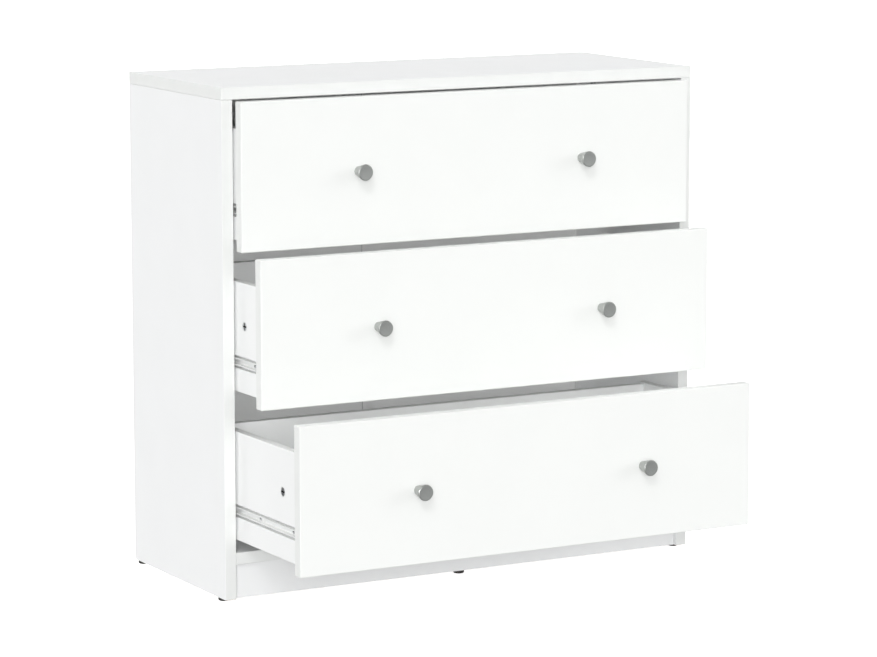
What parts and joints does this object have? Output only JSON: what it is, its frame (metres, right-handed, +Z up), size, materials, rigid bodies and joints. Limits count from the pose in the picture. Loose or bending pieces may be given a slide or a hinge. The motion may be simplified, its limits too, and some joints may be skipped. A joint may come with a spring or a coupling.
{
  "type": "chest of drawers",
  "caption": "White flat-pack chest of drawers: board carcass on glides, inset fronts with conical metal knobs, drawer boxes on ball-bearing runners.",
  "frame": {"origin": "on the floor, under the middle of the chest's outline as it stands with its drawers drawn out as in the picture", "axes": "+X to the right as seen from the front, +Y to the rear, +Z up; drawers slide out along -Y"},
  "size_m": [0.724, 0.498, 0.685],
  "materials": {
    "white_board": "melamine-faced chipboard, white, satin",
    "white_front": "melamine-faced chipboard, white, satin",
    "backing_sheet": "thin hardboard sheet, white foil on the inner face",
    "strip_plastic": "extruded white plastic, satin",
    "glide_plastic": "moulded plastic, nearly black",
    "white_steel": "cold-rolled steel, white powder coat",
    "zinc_steel": "cold-rolled steel, bright zinc plate",
    "cam_zinc": "die-cast zinc, dull",
    "knob_metal": "turned metal, brushed nickel"
  },
  "bodies": {
    "carcass": {"top_panel": "white_board", "side_panel_left": "white_board", "side_panel_right": "white_board", "bottom_panel": "white_board", "plinth": "white_board", "back_panel_left": "backing_sheet", "back_panel_right": "backing_sheet", "back_joint_strip": "strip_plastic", "glide_front_left": "glide_plastic", "glide_front_right": "glide_plastic", "glide_rear_left": "glide_plastic", "glide_rear_right": "glide_plastic", "glide_plinth": "glide_plastic", "lower_cabinet_runner_left": "white_steel", "lower_cabinet_runner_right": "white_steel", "middle_cabinet_runner_left": "white_steel", "middle_cabinet_runner_right": "white_steel", "upper_cabinet_runner_left": "white_steel", "upper_cabinet_runner_right": "white_steel"},
    "lower_drawer": {"lower_drawer_front": "white_front", "lower_drawer_side_left": "white_board", "lower_drawer_side_right": "white_board", "lower_drawer_back": "white_board", "lower_drawer_base": "backing_sheet", "lower_knob_left": "knob_metal", "lower_drawer_runner_left": "white_steel", "lower_cam_left": "cam_zinc", "lower_knob_right": "knob_metal", "lower_drawer_runner_right": "white_steel", "lower_cam_right": "cam_zinc"},
    "middle_drawer": {"middle_drawer_front": "white_front", "middle_drawer_side_left": "white_board", "middle_drawer_side_right": "white_board", "middle_drawer_back": "white_board", "middle_drawer_base": "backing_sheet", "middle_knob_left": "knob_metal", "middle_drawer_runner_left": "white_steel", "middle_cam_left": "cam_zinc", "middle_knob_right": "knob_metal", "middle_drawer_runner_right": "white_steel", "middle_cam_right": "cam_zinc"},
    "upper_drawer": {"upper_drawer_front": "white_front", "upper_drawer_side_left": "white_board", "upper_drawer_side_right": "white_board", "upper_drawer_back": "white_board", "upper_drawer_base": "backing_sheet", "upper_knob_left": "knob_metal", "upper_drawer_runner_left": "white_steel", "upper_cam_left": "cam_zinc", "upper_knob_right": "knob_metal", "upper_drawer_runner_right": "white_steel", "upper_cam_right": "cam_zinc"},
    "lower_cage_left": {"lower_ball_cage_left": "zinc_steel"},
    "lower_cage_right": {"lower_ball_cage_right": "zinc_steel"},
    "middle_cage_left": {"middle_ball_cage_left": "zinc_steel"},
    "middle_cage_right": {"middle_ball_cage_right": "zinc_steel"},
    "upper_cage_left": {"upper_ball_cage_left": "zinc_steel"},
    "upper_cage_right": {"upper_ball_cage_right": "zinc_steel"}
  },
  "joints": [
    {"name": "lower_drawer_slide", "type": "slide", "parent": "carcass", "child": "lower_drawer", "axis": [0, -1, 0], "range_m": [-0.1845, 0.0105]},
    {"name": "middle_drawer_slide", "type": "slide", "parent": "carcass", "child": "middle_drawer", "axis": [0, -1, 0], "range_m": [-0.0755, 0.1195]},
    {"name": "upper_drawer_slide", "type": "slide", "parent": "carcass", "child": "upper_drawer", "axis": [0, -1, 0], "range_m": [-0.0205, 0.1745]},
    {"name": "lower_cage_roll_left", "type": "slide", "parent": "carcass", "child": "lower_cage_left", "axis": [0, -1, 0], "range_m": [-0.09225, 0.00525]},
    {"name": "lower_cage_roll_right", "type": "slide", "parent": "carcass", "child": "lower_cage_right", "axis": [0, -1, 0], "range_m": [-0.09225, 0.00525]},
    {"name": "middle_cage_roll_left", "type": "slide", "parent": "carcass", "child": "middle_cage_left", "axis": [0, -1, 0], "range_m": [-0.03775, 0.05975]},
    {"name": "middle_cage_roll_right", "type": "slide", "parent": "carcass", "child": "middle_cage_right", "axis": [0, -1, 0], "range_m": [-0.03775, 0.05975]},
    {"name": "upper_cage_roll_left", "type": "slide", "parent": "carcass", "child": "upper_cage_left", "axis": [0, -1, 0], "range_m": [-0.01025, 0.08725]},
    {"name": "upper_cage_roll_right", "type": "slide", "parent": "carcass", "child": "upper_cage_right", "axis": [0, -1, 0], "range_m": [-0.01025, 0.08725]}
  ],
  "couplings": [
    {"joint": "lower_cage_roll_left", "follows": "lower_drawer_slide", "ratio": 0.5},
    {"joint": "lower_cage_roll_right", "follows": "lower_drawer_slide", "ratio": 0.5},
    {"joint": "middle_cage_roll_left", "follows": "middle_drawer_slide", "ratio": 0.5},
    {"joint": "middle_cage_roll_right", "follows": "middle_drawer_slide", "ratio": 0.5},
    {"joint": "upper_cage_roll_left", "follows": "upper_drawer_slide", "ratio": 0.5},
    {"joint": "upper_cage_roll_right", "follows": "upper_drawer_slide", "ratio": 0.5}
  ]
}
